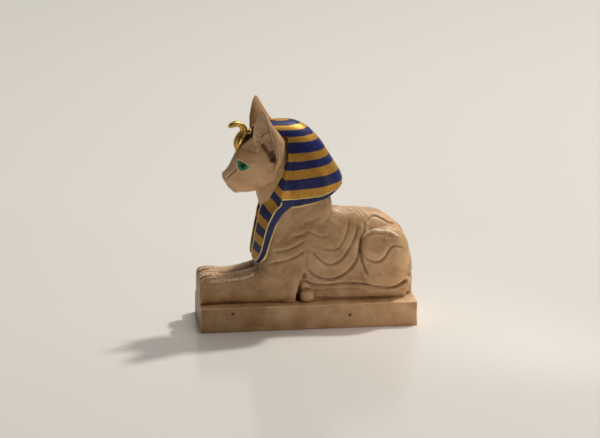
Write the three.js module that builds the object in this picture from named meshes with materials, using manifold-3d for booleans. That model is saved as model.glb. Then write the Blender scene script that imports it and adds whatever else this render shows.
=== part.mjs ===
// Hairless cat lying as a sphinx on a plinth, with a striped royal headdress and a cobra on the brow.
// Millimetres, +Z up. The cat faces -X, its left side is -Y, and the plinth stands on z = 0,
// centred on the origin.
import * as THREE from 'three';
import { mergeVertices } from 'three/addons/utils/BufferGeometryUtils.js';
import Module from 'manifold-3d';

const wasm = await Module();
wasm.setup();

// Driving dimensions
const plinthLength = 180;
const plinthWidth = 54;
const plinthHeight = 21;
const seatDepth = 2; // how far the body's solids reach down into the plinth
const fitGap = 0.3; // clearance around each inlaid piece

const bodyWidth = 35; // across the flanks
const backHeight = 95.5; // of the level part of the back
const rumpEnd = 88; // x of the rearmost point
const legCentre = 8.6; // sideways place of each foreleg
const pawFront = -plinthLength / 2;
const elbowX = -14;
const eyeCentre = new THREE.Vector3(-53.4, -9.8, 138.2);
const eyeSize = new THREE.Vector3(4.6, 3, 3.8);
const earTip = { x: -39.2, y: 24.2, z: 188 };
const noseTip = -69.3;
const hemHeight = 105; // at the shoulders
const hemRise = 0.26; // slope of the hem, up to the back
const capTop = 172;
const lappetFoot = 58.5;

const floorLine = plinthHeight - seatDepth;

const wood = new THREE.MeshStandardMaterial({ color: 0xc39a6b, roughness: 0.55, metalness: 0 });
const gilding = new THREE.MeshStandardMaterial({ color: 0xd6a52c, roughness: 0.28, metalness: 1 });
const greenGlass = new THREE.MeshStandardMaterial({ color: 0x0f8a4e, roughness: 0.08, metalness: 0 });

// Values between the rows follow a smooth curve; each row is [position, value, value, ...].
function throughRows(rows) {
  const size = rows[0].length - 1;
  const positions = rows.map((row) => row[0]);
  const values = rows.flatMap((row) => row.slice(1));
  const curve = new THREE.CubicInterpolant(positions, values, size, new Float64Array(size));
  return (position) => Array.from(curve.evaluate(position));
}

// Superellipse: 2 is an ellipse, larger values are squarer.
function rounded(value, fullness) {
  return Math.sign(value) * Math.abs(value) ** (2 / fullness);
}

// A unit cylinder whose vertices are moved to place(angle, reach, along), with along from 0 to 1
// and reach from 0 on the axis to 1 on the wall.
function shapedCylinder(around, steps, place) {
  const geometry = new THREE.CylinderGeometry(1, 1, 1, around, steps);
  const position = geometry.attributes.position;
  for (let i = 0; i < position.count; i += 1) {
    const reach = Math.min(1, Math.hypot(position.getX(i), position.getZ(i)));
    const angle = Math.atan2(position.getX(i), position.getZ(i));
    const point = place(angle, reach, position.getY(i) + 0.5);
    position.setXYZ(i, point.x, point.y, point.z);
  }
  return geometry;
}

// A body of rings. Each row is [position, x, y, z, side, up, down]: the ring's centre and its half sizes.
// Upright rings stand across an axis along +X. Level rings lie across an axis along +Z, with up meaning
// forward, to -X, and down backward. Fullness is for the up half and lowFullness for the down half. Each
// end is rounded over its share of the length.
function body({ rows, around = 18, steps = 14, level = false, fullness = 2.2, lowFullness, ends = [0.12, 0.12] }) {
  const at = throughRows(rows);
  const first = rows[0][0];
  const length = rows[rows.length - 1][0] - first;
  const low = lowFullness ?? fullness;
  return shapedCylinder(around, steps, (angle, reach, along) => {
    const t = (1 - Math.cos(Math.PI * along)) * 0.3 + along * 0.4;
    const here = at(first + t * length);
    const startRound = ends[0] ? Math.min(1, t / ends[0]) : 1;
    const endRound = ends[1] ? Math.min(1, (1 - t) / ends[1]) : 1;
    const shrink = Math.sqrt(Math.max(0.03, (1 - (1 - startRound) ** 2) * (1 - (1 - endRound) ** 2)));
    const isUpper = Math.sin(angle) >= 0;
    const power = isUpper ? fullness : low;
    const sideways = rounded(Math.cos(angle), power) * here[3] * shrink * reach;
    const upward = rounded(Math.sin(angle), power) * (isUpper ? here[4] : here[5]) * shrink * reach;
    return {
      x: here[0] - (level ? upward : 0),
      y: here[1] + sideways,
      z: here[2] + (level ? 0 : upward),
    };
  });
}

// A rounded lump: an ellipsoid that can be made squarer.
function lump(centre, size, fullness = 2, around = 16, rings = 10) {
  const geometry = new THREE.SphereGeometry(1, around, rings);
  const position = geometry.attributes.position;
  for (let i = 0; i < position.count; i += 1) {
    const direction = new THREE.Vector3().fromBufferAttribute(position, i);
    const power = Math.abs(direction.x) ** fullness + Math.abs(direction.y) ** fullness
      + Math.abs(direction.z) ** fullness;
    direction.divideScalar(power ** (1 / fullness));
    position.setXYZ(i, centre[0] + direction.x * size[0], centre[1] + direction.y * size[1],
      centre[2] + direction.z * size[2]);
  }
  return geometry;
}

// The same surface with shared vertices and positions only.
function welded(geometry) {
  const bare = geometry.clone();
  bare.deleteAttribute('normal');
  bare.deleteAttribute('uv');
  return mergeVertices(bare, 1e-4);
}

function toSolid(geometry) {
  const merged = welded(geometry);
  const mesh = new wasm.Mesh({
    numProp: 3,
    vertProperties: new Float32Array(merged.attributes.position.array),
    triVerts: new Uint32Array(merged.index.array),
  });
  return new wasm.Manifold(mesh);
}

function toGeometry(solid) {
  const mesh = solid.getMesh();
  const geometry = new THREE.BufferGeometry();
  geometry.setAttribute('position', new THREE.BufferAttribute(new Float32Array(mesh.vertProperties), 3));
  geometry.setIndex(new THREE.BufferAttribute(new Uint32Array(mesh.triVerts), 1));
  geometry.computeVertexNormals();
  return geometry;
}

// The same form on the cat's other side.
function mirrored(geometry) {
  const copy = welded(geometry);
  copy.scale(1, -1, 1);
  const index = copy.index.array;
  for (let i = 0; i < index.length; i += 3) {
    [index[i + 1], index[i + 2]] = [index[i + 2], index[i + 1]];
  }
  return copy;
}

function withMirror(geometry) {
  return [geometry, mirrored(geometry)];
}

function plinth() {
  const block = new THREE.BoxGeometry(plinthLength, plinthWidth, plinthHeight);
  block.translate(0, 0, plinthHeight / 2);
  return [block];
}

// Back, flanks and rump. The rump falls as a quarter ellipse from the level back to the heels.
const torsoFullness = 2.5;
const rumpStart = 47;
const rumpCentre = 37;

function backAt(x) {
  const fall = Math.min(1, Math.max(0, x - rumpStart) / (rumpEnd - rumpStart + 1.5));
  return rumpCentre + (backHeight - rumpCentre) * Math.sqrt(1 - fall * fall);
}

const torsoRows = [
  [-40, 66, 14],
  [-28, 88, bodyWidth / 2],
  [-5, 98, bodyWidth / 2 + 0.5],
  [14, 99.6, bodyWidth / 2],
  [30, 96.6, bodyWidth / 2 - 0.5],
  ...[47, 56, 64, 71, 77, 82, 86, rumpEnd].map((x) => {
    const rounding = Math.sqrt(1 - (Math.max(0, x - 52) / 39) ** 2.4);
    return [x, backAt(x), (bodyWidth / 2 + 0.5) * rounding];
  }),
].map(([x, top, side]) => {
  const centre = Math.min(54, (top + floorLine) / 2 + 4);
  return [x, x, 0, centre, side, top - centre, centre - floorLine];
});

function torso() {
  return [body({ rows: torsoRows, around: 20, steps: 18, fullness: torsoFullness, ends: [0, 0] })];
}

const thighCentre = [62, -11, 55.6];
const thighSize = [22.6, 10.4, 27];
const thighFullness = 2.6;

// How far the flank or the thigh reaches sideways at a place on the cat's side.
function skinAt(x, z) {
  const [, , centre, side, up, down] = throughRows(torsoRows)(x);
  const level = Math.min(1, Math.abs(z - centre) / (z > centre ? up : down));
  const flank = side * (1 - level ** torsoFullness) ** (1 / torsoFullness);
  const spread = Math.abs((x - thighCentre[0]) / thighSize[0]) ** thighFullness
    + Math.abs((z - thighCentre[2]) / thighSize[2]) ** thighFullness;
  const thigh = spread < 1 ? -thighCentre[1] + thighSize[1] * (1 - spread) ** (1 / thighFullness) : 0;
  return Math.max(flank, thigh);
}

// A groove carved along a smooth line on the near side; its points are places [x, z] on the skin.
function groove(points, width, steps) {
  const section = new THREE.Shape().absarc(0, 0, width / 2, 0, Math.PI * 2);
  const line = new THREE.CatmullRomCurve3(points.map(([x, z]) => new THREE.Vector3(x, -skinAt(x, z) - 0.1, z)));
  return new THREE.ExtrudeGeometry(section, {
    curveSegments: 2, steps, bevelEnabled: false, extrudePath: line,
  });
}

// Folds of loose skin: three hanging from the loin, three draped from the shoulder, the sweep on the
// thigh and the ridge of the hip. The far side has only the larger ones.
function folds() {
  const hanging = [
    groove([[41, 88], [39.5, 77], [32.5, 63.5], [17, 52.3], [3, 64], [-1, 69]], 2.8, 12),
    groove([[42.6, 72], [42, 59], [34, 47.3], [17, 39.4], [2, 45], [-2, 53]], 3.2, 12),
    groove([[-34, 54.4], [-24.5, 53.2], [-13, 57.5], [-2, 68]], 2.8, 6),
  ];
  const near = [
    groove([[34.5, 89], [31, 76.5], [24, 66.4], [9, 67]], 2, 7),
    groove([[-2, 81], [6, 77], [14.4, 75], [21, 77]], 2, 4),
    groove([[-28.7, 65.5], [-18, 66.8], [-9.7, 71.7], [-3, 77]], 2.4, 5),
  ];
  const thighLines = [
    groove([[45.6, 59.6], [53, 54], [60.6, 57], [66.4, 66], [73, 68.6], [79.6, 62.4]], 2.8, 11),
    groove([[49, 87.4], [56, 89.4], [63, 86], [72, 79]], 2, 5),
  ];
  return [...near, ...[...hanging, ...thighLines].flatMap(withMirror)];
}

// Clefts between the toes, over the front of each paw.
function toeClefts() {
  const section = new THREE.Shape().absarc(0, 0, 0.9, 0, Math.PI * 2);
  const clefts = [-3.9, 0.2, 4.3].map((offset) => {
    const y = -legCentre + offset;
    const path = new THREE.CatmullRomCurve3([
      new THREE.Vector3(-80, y, 44.6),
      new THREE.Vector3(-86.5, y, 43.2),
      new THREE.Vector3(pawFront + 0.6, y, 38),
      new THREE.Vector3(pawFront - 0.3, y, 27),
    ]);
    return new THREE.ExtrudeGeometry(section, {
      curveSegments: 2, steps: 6, bevelEnabled: false, extrudePath: path,
    });
  });
  return clefts.flatMap(withMirror);
}

// Thigh folded against the flank, the long hind foot under it and the toes at its front end.
function hindLeg() {
  const thigh = lump(thighCentre, thighSize, thighFullness, 18, 10);
  const foot = body({
    rows: [
      [0, 0, -8.5, 25.8, 7, 6.2, 6],
      [1, 40, -8.2, 26.2, 7.2, 6.4, 6.5],
      [2, 74, -7.6, 27.2, 7.2, 7.6, 7.4],
      [3, 84.5, -5, 28, 6.4, 7.2, 8.2],
    ],
    around: 12,
    steps: 10,
    fullness: 2.7,
    ends: [0.04, 0.12],
  });
  const toes = lump([-1.4, -13.8, 28.2], [6, 7.2, 8.2], 2.5, 12, 8);
  return [thigh, foot, toes].flatMap(withMirror);
}

// Upper arm from the shoulder to the elbow, forearm and paw laid forward along the plinth.
function foreLeg() {
  const foreArm = body({
    rows: [
      [0, pawFront, -legCentre, 32, 8, 11, 12.2],
      [1, -80, -legCentre, 32, 8.9, 12, 12.2],
      [2, -70.5, -legCentre, 32, 8.2, 10.6, 12.2],
      [3, -58, -legCentre, 32, 8.4, 11.4, 12.2],
      [4, -44, -legCentre - 0.4, 32, 9, 13, 12.2],
      [5, -30, -legCentre - 0.8, 32, 9.8, 14.6, 12.2],
      [6, elbowX + 10, -legCentre - 1.2, 32, 9.4, 13, 12.2],
    ],
    around: 12,
    steps: 12,
    fullness: 3,
    lowFullness: 2.1,
    ends: [0.05, 0.1],
  });
  const upperArm = body({
    rows: [
      [0, elbowX, -9, 20.4, 8.4, 13, 4.6],
      [1, elbowX, -9.4, 36, 9.4, 15, 9.2],
      [2, elbowX, -9, 50, 9.4, 17, 13],
      [3, elbowX, -7.6, 74, 8.4, 16, 20],
    ],
    level: true,
    around: 12,
    steps: 6,
    fullness: 2.4,
    ends: [0, 0.25],
  });
  return [foreArm, upperArm].flatMap(withMirror);
}

// Chest and neck rising to the throat.
function neck() {
  const rows = [
    [floorLine - 1, -30, 14.5, 9.6, 14],
    [34, -30, 16, 11, 14],
    [48, -30, 17.5, 12.6, 16],
    [66, -28, 17.5, 13.4, 18],
    [84, -25, 16, 14, 20],
    [100, -22, 13.4, 16.6, 22],
    [116, -22, 13.8, 20.4, 20],
    [134, -22, 13.8, 18, 16],
  ].map(([z, x, side, forward, backward]) => [z, x, 0, z, side, forward, backward]);
  return [body({ rows, level: true, around: 16, steps: 8, fullness: 2.3, ends: [0, 0.1] })];
}

// Skull, muzzle, cheeks and chin; rings stand across the head from the nose back.
function head() {
  const rows = [
    [noseTip, 129.4, 2.4, 1.6, 4.6],
    [-67.4, 127.4, 4.8, 4.8, 4.4],
    [-64, 126.6, 6.6, 9.4, 6.6],
    [-60, 127, 8.8, 16.6, 11.6],
    [-55.5, 130, 11.2, 22.2, 16.6],
    [-50, 134, 13.4, 24.4, 21],
    [-43, 137.6, 14.8, 26.8, 23.6],
    [-34, 139.6, 15.2, 29.4, 24.4],
    [-22, 140, 14.6, 29, 22],
    [-10, 140, 10, 20, 16],
  ].map(([x, z, side, up, down]) => [x, x, 0, z, side, up, down]);
  const skull = body({ rows, around: 20, steps: 14, fullness: 2.15, lowFullness: 2.5, ends: [0, 0.1] });
  const chin = lump([-58.2, 0, 117.6], [5.4, 6.6, 4.6], 2.2, 10, 6);
  const whiskerPad = lump([-62, -3.8, 124.8], [6, 5, 4.6], 2.1, 12, 8);
  return [skull, chin, ...withMirror(whiskerPad)];
}

// A thin leaf, hollowed on its outer side. Each ring is a flattened ellipse bent into a crescent.
// Rows: height, front edge, back edge, sideways place, hollow depth, half thickness.
function ear() {
  const at = throughRows([
    [127, -29.6, -26.6, 13, 0, 2],
    [135, -31, -24.6, 14.6, 1.6, 2.2],
    [143, -33.6, -21.8, 16.6, 3.6, 2.2],
    [151, -39.6, -20.2, 17.6, 5.2, 2],
    [159, -44, -20.6, 18.2, 5.6, 1.8],
    [166, -45.4, -23.6, 19, 4.8, 1.6],
    [173, -45, -28.8, 20.4, 3.6, 1.4],
    [180, -43.6, -33, 22, 2, 1.2],
    [185, -42.2, -36.4, 23.4, 1, 1],
    [earTip.z, earTip.x - 0.9, earTip.x + 0.9, earTip.y, 0, 0.7],
  ]);
  const turnOut = 0.5; // the hollow looks outward and forward
  const leaf = shapedCylinder(12, 10, (angle, reach, along) => {
    const height = 127 + (earTip.z - 127) * along;
    const [front, back, out, hollow, thick] = at(height);
    const across = Math.sin(angle) * reach;
    const half = (back - front) / 2;
    const bend = hollow * (1 - across * across);
    const through = -Math.cos(angle) * reach * thick;
    return {
      x: (front + back) / 2 + across * half,
      y: -(out + across * half * turnOut - bend) + through,
      z: height,
    };
  });
  return withMirror(leaf);
}

// Cap over the skull that widens to the hem behind the shoulders.
function headdress() {
  const rows = [
    [hemHeight - 2.5, 2, 21.8, 24, 19],
    [hemHeight + 1, 2, 23.2, 24.6, 25],
    [114, 2, 23.6, 24, 27.6],
    [124, 1, 23, 21, 26.6],
    [134, -1, 21.6, 18, 24],
    [144, -5, 20, 14, 22.2],
    [152, -10, 18.2, 17, 21.6],
    [159, -15, 16, 25, 20.6],
    [165, -18.6, 13.2, 26, 18.2],
    [169.4, -21, 9.6, 21, 13.6],
    [capTop, -22, 4, 11, 6.6],
  ].map(([z, x, side, forward, backward]) => [z, x, 0, z, side, forward, backward]);
  const cap = body({ rows, level: true, around: 22, steps: 13, fullness: 2.35, ends: [0, 0] });
  const position = cap.attributes.position;
  for (let i = 0; i < position.count; i += 1) {
    const low = 1 - THREE.MathUtils.smoothstep(position.getZ(i), hemHeight - 1, 150);
    position.setZ(i, position.getZ(i) + (position.getX(i) + 3) * hemRise * low);
  }
  return [cap];
}

// Flat tail of the headdress that hangs over the collarbone; its front turns outward around the chest.
// Rows: height, inner front edge, outer front edge, back edge.
function lappet() {
  const at = throughRows([
    [lappetFoot, -46.4, -42.6, -36],
    [67, -45.6, -40.6, -33.6],
    [77, -44.2, -38.2, -30.8],
    [89, -42, -34.4, -27],
    [99, -40, -30.4, -21.4],
    [108, -36.6, -24.4, -11],
    [120, -29.6, -22.2, -8],
    [132, -24.4, -19.4, -8],
    [141, -19.6, -16.6, -8],
  ]);
  const inner = -5;
  const corners = (z) => {
    const [innerFront, outerFront, back] = at(z);
    const spread = THREE.MathUtils.smoothstep(z, 90, 125) * 5;
    const outer = -19.8 - THREE.MathUtils.smoothstep(z, 70, 110) * 1.6 + THREE.MathUtils.smoothstep(z, 116, 141) * 3;
    return [[innerFront, inner - spread], [outerFront, outer], [back, outer - 0.2], [back, inner - spread]];
  };
  return withMirror(shapedCylinder(8, 11, (angle, reach, along) => {
    const z = lappetFoot + (141 - lappetFoot) * along;
    const four = corners(z);
    const turn = ((Math.PI + angle) / (Math.PI * 2)) * 4;
    const side = Math.min(3, Math.floor(turn + 1e-6));
    const part = turn - side;
    const from = four[side];
    const to = four[(side + 1) % 4];
    const middle = four.reduce((sum, [x, y]) => [sum[0] + x / 4, sum[1] + y / 4], [0, 0]);
    return {
      x: middle[0] + (from[0] + (to[0] - from[0]) * part - middle[0]) * reach,
      y: middle[1] + (from[1] + (to[1] - from[1]) * part - middle[1]) * reach,
      z,
    };
  }));
}

// The cobra: a hooded neck that rises from the brow, bends over and looks forward, with its tail behind.
function cobra(grow) {
  const section = new THREE.Shape().absarc(0, 0, 2 + grow, 0, Math.PI * 2);
  const tube = (points, steps) => new THREE.ExtrudeGeometry(section, {
    curveSegments: 4,
    steps,
    bevelEnabled: false,
    extrudePath: new THREE.CatmullRomCurve3(points.map(([x, z]) => new THREE.Vector3(x, 0, z))),
  });
  const neckTube = tube([[-56.6, 154], [-54, 160], [-51.4, 165.6], [-53, 170], [-57.2, 171], [-61.6, 169.4]], 9);
  const tailTube = tube([[-51.6, 164.4], [-48.8, 166], [-46, 165]], 3);
  const hood = lump([0, 0, 0], [3.6 + grow, 5.6 + grow, 8.4 + grow], 2, 12, 7);
  hood.rotateY(0.28);
  hood.translate(-56.4, 0, 156.6);
  const face = lump([-61.4, 0, 169.6], [3.4 + grow, 3 + grow, 2.2 + grow], 2, 10, 6);
  const tailKnob = lump([-45.4, 0, 165], [2.4 + grow, 2.4 + grow, 2.4 + grow], 2, 8, 6);
  return [neckTube, tailTube, hood, face, tailKnob];
}

function eye(grow) {
  const form = lump([0, 0, 0], [eyeSize.x + grow, eyeSize.y + grow, eyeSize.z + grow], 2, 12, 8);
  form.rotateZ(-0.42);
  form.translate(eyeCentre.x, eyeCentre.y, eyeCentre.z);
  return form;
}

// The tail comes round the far haunch and lies along the hind foot, tapering to a blunt tip.
function tail() {
  const path = new THREE.CatmullRomCurve3([[82, 3], [85.6, 11], [77, 18.4], [54, 20.2], [30, 19.8], [15, 18.4]]
    .map(([x, y]) => new THREE.Vector3(x, y, plinthHeight)));
  const form = shapedCylinder(8, 12, (angle, reach, along) => {
    const centre = path.getPoint(along);
    const sideways = new THREE.Vector3(0, 0, 1).cross(path.getTangent(along));
    const tip = Math.sqrt(Math.max(0.06, 1 - Math.max(0, (along - 0.92) / 0.08) ** 2));
    const radius = (4.4 - 1.8 * along) * tip * reach;
    centre.addScaledVector(sideways, Math.cos(angle) * radius);
    centre.z += radius * Math.sin(angle) + (4.4 - 1.8 * along) * 0.75;
    return centre;
  });
  return [form];
}

function join(geometries) {
  return geometries.map(toSolid).reduce((whole, next) => whole.add(next));
}

function statue() {
  const carved = join([...plinth(), ...torso(), ...hindLeg(), ...foreLeg(), ...neck(), ...head(), ...ear(),
    ...headdress(), ...lappet(), ...tail()]);
  const cuts = join([...withMirror(eye(fitGap)), ...cobra(fitGap), ...folds(), ...toeClefts()]);
  return carved.subtract(cuts);
}

function piece(name, solid, material) {
  const mesh = new THREE.Mesh(toGeometry(solid), material);
  mesh.name = name;
  return mesh;
}

const sphinx = new THREE.Group();
sphinx.add(piece('statue', statue(), wood));
sphinx.add(piece('uraeus', join(cobra(0)), gilding));
sphinx.add(piece('left_eye', toSolid(eye(0)), greenGlass));
sphinx.add(piece('right_eye', toSolid(mirrored(eye(0))), greenGlass));

export default sphinx;
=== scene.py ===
# Hairless cat lying as a sphinx: carved limewood on a plinth, painted headcloth, gilded cobra, glass eyes.
# Lengths are in millimetres while a piece is modelled and turned to metres when it is finished.
import math

import bmesh
import bpy
import numpy as np
from mathutils import Matrix, Vector
from mathutils.bvhtree import BVHTree


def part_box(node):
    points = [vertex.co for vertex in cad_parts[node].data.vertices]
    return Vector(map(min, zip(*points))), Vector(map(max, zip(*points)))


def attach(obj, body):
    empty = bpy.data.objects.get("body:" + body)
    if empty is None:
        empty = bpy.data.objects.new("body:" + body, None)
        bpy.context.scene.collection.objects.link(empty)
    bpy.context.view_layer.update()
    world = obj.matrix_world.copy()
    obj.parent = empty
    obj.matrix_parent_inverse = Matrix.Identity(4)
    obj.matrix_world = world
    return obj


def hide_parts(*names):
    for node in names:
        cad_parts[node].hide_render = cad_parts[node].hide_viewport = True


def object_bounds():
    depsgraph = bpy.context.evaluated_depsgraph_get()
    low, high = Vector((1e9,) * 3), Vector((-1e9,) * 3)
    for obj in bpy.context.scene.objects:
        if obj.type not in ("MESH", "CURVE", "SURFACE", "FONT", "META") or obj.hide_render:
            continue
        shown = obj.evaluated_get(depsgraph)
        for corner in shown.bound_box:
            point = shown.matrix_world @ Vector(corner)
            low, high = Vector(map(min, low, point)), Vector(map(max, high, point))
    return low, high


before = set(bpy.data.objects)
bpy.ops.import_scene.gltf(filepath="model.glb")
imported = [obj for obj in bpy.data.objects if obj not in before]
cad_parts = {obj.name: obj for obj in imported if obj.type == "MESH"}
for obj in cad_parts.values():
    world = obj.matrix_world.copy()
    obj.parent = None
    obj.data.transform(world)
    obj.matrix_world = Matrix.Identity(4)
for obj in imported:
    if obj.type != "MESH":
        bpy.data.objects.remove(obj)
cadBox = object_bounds()
mm = 0.001
blockSize = [round((high - low) / mm, 1) for low, high in zip(*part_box("statue"))]  # length, width, height
print("frame loaded, block of", blockSize, "mm")


def throughRows(rows, position):  # values between the rows follow a smooth curve
    rows = np.array(rows, float)
    place, value = rows[:, 0], rows[:, 1:]
    t = np.clip(position, place[0], place[-1])
    end = np.clip(np.searchsorted(place, t, side="right"), 1, len(place) - 1)
    start = end - 1
    before = np.where(start > 0, start - 1, end)
    after = np.where(end < len(place) - 1, end + 1, start)
    gap = place[end] - place[start]
    p, wayIn, wayOut = (v[:, None] for v in ((t - place[start]) / gap, gap / (place[start] - place[before]),
                                             gap / (place[after] - place[end])))
    step = value[end] - value[start]
    slopeIn = (step + wayIn * (value[start] - value[before])) / 2
    slopeOut = (step + wayOut * (value[after] - value[end])) / 2
    return value[start] + step * p * p * (3 - 2 * p) + slopeIn * p * (1 - p) ** 2 - slopeOut * p * p * (1 - p)


def smoothstep(value, low, high):
    t = np.clip((value - low) / (high - low), 0, 1)
    return t * t * (3 - 2 * t)


def rounded(value, fullness):  # superellipse: 2 is an ellipse, more is squarer
    return np.sign(value) * np.abs(value) ** (2 / fullness)


def rolled(around, steps, place):  # a grid rolled into a tube; place gives the points of it
    bm = bmesh.new()
    bmesh.ops.create_grid(bm, x_segments=around, y_segments=steps, size=0.5)
    flat = np.array([v.co for v in bm.verts])
    points = place((flat[:, 0] + 0.5) * 2 * math.pi, flat[:, 1] + 0.5)
    for v, point in zip(bm.verts, points):
        v.co = point
    bmesh.ops.remove_doubles(bm, verts=bm.verts, dist=1e-4)
    bmesh.ops.holes_fill(bm, edges=bm.edges, sides=0)
    bmesh.ops.recalc_face_normals(bm, faces=bm.faces)
    return bm


# Rings along an axis. Each row is [position, x, y, z, side, up, down], and an optional last value is the
# squareness of the up half. In level rings up means forward, to -X, and down means backward.
def ringed(rows, around=72, steps=80, level=False, fullness=2.2, lowFullness=None, ends=(0.12, 0.12)):
    low = lowFullness or fullness
    length = rows[-1][0] - rows[0][0]

    def place(angle, along):
        t = (1 - np.cos(math.pi * along)) * 0.3 + along * 0.4  # the rings stand closer towards the ends
        here = throughRows(rows, rows[0][0] + t * length)
        start, end = (np.minimum(1, way / share) if share else np.ones_like(t)
                      for way, share in ((t, ends[0]), (1 - t, ends[1])))
        shrink = np.sqrt(np.maximum(0.03, (1 - (1 - start) ** 2) * (1 - (1 - end) ** 2)))
        upper = np.sin(angle) >= 0
        square = here[:, 6] if here.shape[1] > 6 else fullness
        power = np.where(upper, square, low)
        sideways = rounded(np.cos(angle), power) * here[:, 3] * shrink
        upward = rounded(np.sin(angle), power) * np.where(upper, here[:, 4], here[:, 5]) * shrink
        x = here[:, 0] - (upward if level else 0)
        z = here[:, 2] + (0 if level else upward)
        return np.stack([x, here[:, 1] + sideways, z], axis=1)

    return rolled(around, steps, place)


def numbered(rows):  # rows evenly apart, whatever lies between them
    return [[i, *row] for i, row in enumerate(rows)]


def upright(rows):  # level rings on the middle plane, from rows of height, x, side, forward, backward
    return [[z, x, 0, z, *sizes] for z, x, *sizes in rows]


def lump(centre, size, fullness=2, around=32, rings=24):  # a ball pressed squarer
    bm = bmesh.new()
    bmesh.ops.create_uvsphere(bm, u_segments=around, v_segments=rings, radius=1)
    for v in bm.verts:
        power = sum(abs(c) ** fullness for c in v.co) ** (1 / fullness)
        v.co = Vector(c / power * s for c, s in zip(v.co, size))
    bmesh.ops.translate(bm, vec=centre, verts=bm.verts)
    return bm


def pair(form):  # the form and its mirror image on the cat's other side
    other = form.copy()
    bmesh.ops.scale(other, vec=(1, -1, 1), verts=other.verts)
    bmesh.ops.reverse_faces(other, faces=other.faces)
    return [form, other]


def gathered(name, forms):  # one object from several closed forms
    mesh = bpy.data.meshes.new(name)
    whole = bmesh.new()
    for form in forms:
        form.to_mesh(mesh)
        whole.from_mesh(mesh)
        form.free()
    whole.to_mesh(mesh)
    whole.free()
    piece = bpy.data.objects.new(name, mesh)
    bpy.context.collection.objects.link(piece)
    return piece


def settled(piece):  # the mesh with its modifiers applied
    bpy.context.view_layer.update()
    mesh = bpy.data.meshes.new_from_object(piece.evaluated_get(bpy.context.evaluated_depsgraph_get()))
    piece.modifiers.clear()
    old = piece.data
    piece.data = mesh
    bpy.data.meshes.remove(old)
    mesh.name = piece.name
    return piece


def fused(name, forms, size):  # closed forms melted into one skin, as if cut from one block
    piece = gathered(name, forms)
    remesh = piece.modifiers.new("fuse", "REMESH")
    remesh.mode = "VOXEL"
    remesh.voxel_size = size["voxel"]
    smooth = piece.modifiers.new("soften", "SMOOTH")
    smooth.factor = 0.5
    smooth.iterations = size["smoothing"]
    return settled(piece)


def trianglesOf(piece):
    return sum(len(p.vertices) - 2 for p in piece.data.polygons)


def thinned(piece, triangles):  # fewer faces where the surface is calm
    decimate = piece.modifiers.new("thin", "DECIMATE")
    decimate.ratio = min(1, triangles / trianglesOf(piece))
    return settled(piece)


def cutAcross(form, place, way, **more):  # by a plane through the place
    bmesh.ops.bisect_plane(form, geom=form.verts[:] + form.edges[:] + form.faces[:], dist=1e-4,
                           plane_co=place, plane_no=way, **more)


def skinOf(piece):
    count = len(piece.data.vertices)
    points, normals = np.empty(count * 3), np.empty(count * 3)
    piece.data.vertices.foreach_get("co", points)
    piece.data.vertex_normals.foreach_get("vector", normals)
    return points.reshape(-1, 3), normals.reshape(-1, 3)


def putSkin(piece, points):
    piece.data.vertices.foreach_set("co", points.ravel())
    piece.data.update()


def smoothLine(points, gap=0.7):  # a smooth line through places given as (x, z) or (x, y, z)
    points = [Vector(p if len(p) == 3 else (p[0], 0, p[1])) for p in points]
    points = [points[0] * 2 - points[1], *points, points[-1] * 2 - points[-2]]
    line = []
    for a, b, c, d in zip(points, points[1:], points[2:], points[3:]):
        count = max(2, round((c - b).length / gap))
        for t in (i / count for i in range(count)):
            line.append(0.5 * (2 * b + (c - a) * t + (2 * a - 5 * b + 4 * c - d) * t**2
                               + (3 * b - a - 3 * c + d) * t**3))
    return line + [points[-2]]


# Nearest place of each point on a line: distance, share of the way along, and side (positive to the left
# of the way, seen from outside).
def nearLine(points, normals, line):
    steps = np.diff(line, axis=0)
    best = np.full(len(points), 1e9)
    share, side = np.zeros(len(points)), np.zeros(len(points))
    for i, (start, step) in enumerate(zip(np.array(line), steps)):
        offset = points - start
        t = np.clip(offset @ step / max(1e-9, step @ step), 0, 1)
        gap = offset - t[:, None] * step
        distance = np.linalg.norm(gap, axis=1)
        closer = distance < best
        best[closer] = distance[closer]
        share[closer] = ((i + t) / len(steps))[closer]
        side[closer] = np.sign(np.einsum("ij,ij->i", np.cross(normals, step), gap))[closer]
    return best, share, side


def fromSide(tree, x, z, hand):  # where a ray from 60 mm beside the cat meets the skin; hand -1 is its left
    return tree.ray_cast(Vector((x, hand * 60, z)), Vector((0, -hand, 0)))


# How a cut of the gouge is where it doesn't say: the height and width of a roll of skin left standing on the
# left of the way, the teeth left by the blade, how dark it is painted for the wax it holds and the shade in
# it, how far it's rubbed and painted pale as highlight, and the sides cut.
plainCut = {"lip": (0, 1), "chip": 0, "dark": 0.32, "worn": 0, "hands": (-1, 1), "taper": True}


def cut(at, width, depth, **more):  # a groove along places on the skin
    return {**plainCut, "at": at, "width": width, "depth": depth, **more}


def ridge(at, width, height, chip, worn, **more):  # a rubbed edge left standing between two cuts, its crest painted pale as wear and highlight
    return cut(at, width, -height, chip=chip, worn=worn, dark=0, **more)


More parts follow.
